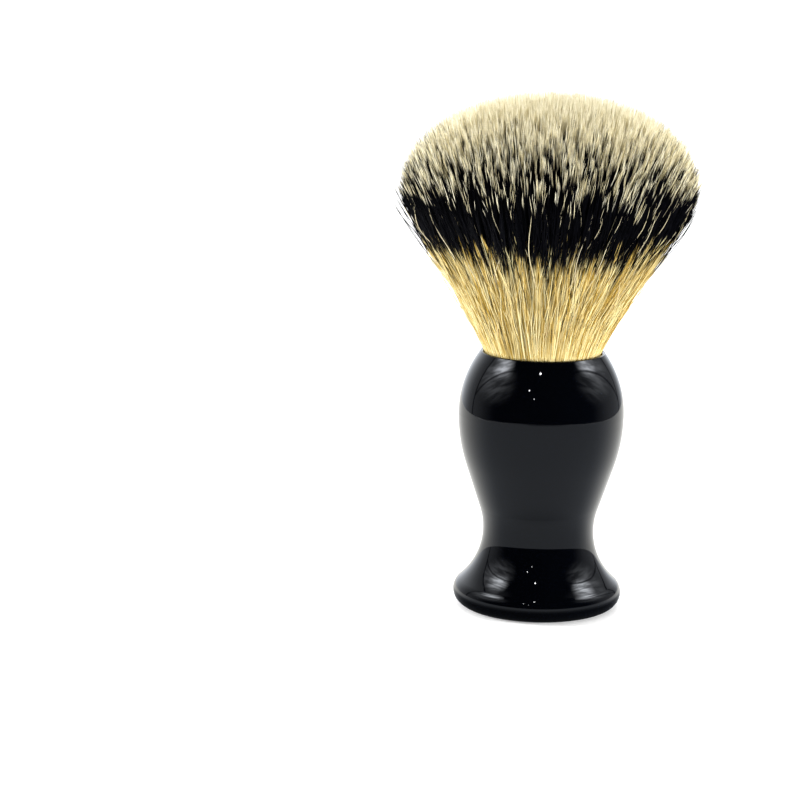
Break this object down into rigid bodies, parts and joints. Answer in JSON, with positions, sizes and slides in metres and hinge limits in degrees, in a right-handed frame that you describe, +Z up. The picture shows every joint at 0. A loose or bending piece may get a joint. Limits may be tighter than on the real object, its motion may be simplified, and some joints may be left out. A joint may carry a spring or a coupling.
{
  "type": "shaving brush",
  "caption": "Shaving brush with a turned glossy black resin handle and a fanned, domed knot of banded synthetic fibres that flexes at the mouth of the handle.",
  "frame": {"origin": "centre of the flat underside of the foot, on the surface the brush stands on", "axes": "+Z up along the brush's axis from the foot to the crown of the knot; +X and +Y are any two square directions, because the brush is round"},
  "size_m": [0.06, 0.06, 0.1064],
  "materials": {
    "black_resin": "polished cast resin",
    "plug_resin": "cast, unpolished",
    "epoxy": "set glue",
    "thread": "waxed thread",
    "amber_fibre": "fine synthetic fibre, amber dyed",
    "black_fibre": "fine synthetic fibre, black dyed",
    "cream_fibre": "fine synthetic fibre, undyed cream"
  },
  "bodies": {
    "handle": {"handle": "black_resin", "knot_plug": "plug_resin", "socket_adhesive": "epoxy", "binding_thread": "thread", "fibre_roots": "amber_fibre"},
    "knot_head": {"fibre_body": "amber_fibre", "fibre_black_band": "black_fibre", "fibre_cream_tips": "cream_fibre"}
  },
  "joints": [
    {"name": "knot_flex", "type": "hinge", "parent": "handle", "child": "knot_head", "pos_m": [0, 0, 0.0535], "axis": [0, 1, 0], "range_deg": [-25, 25], "stiffness_Nm_per_rad": 0.35}
  ]
}
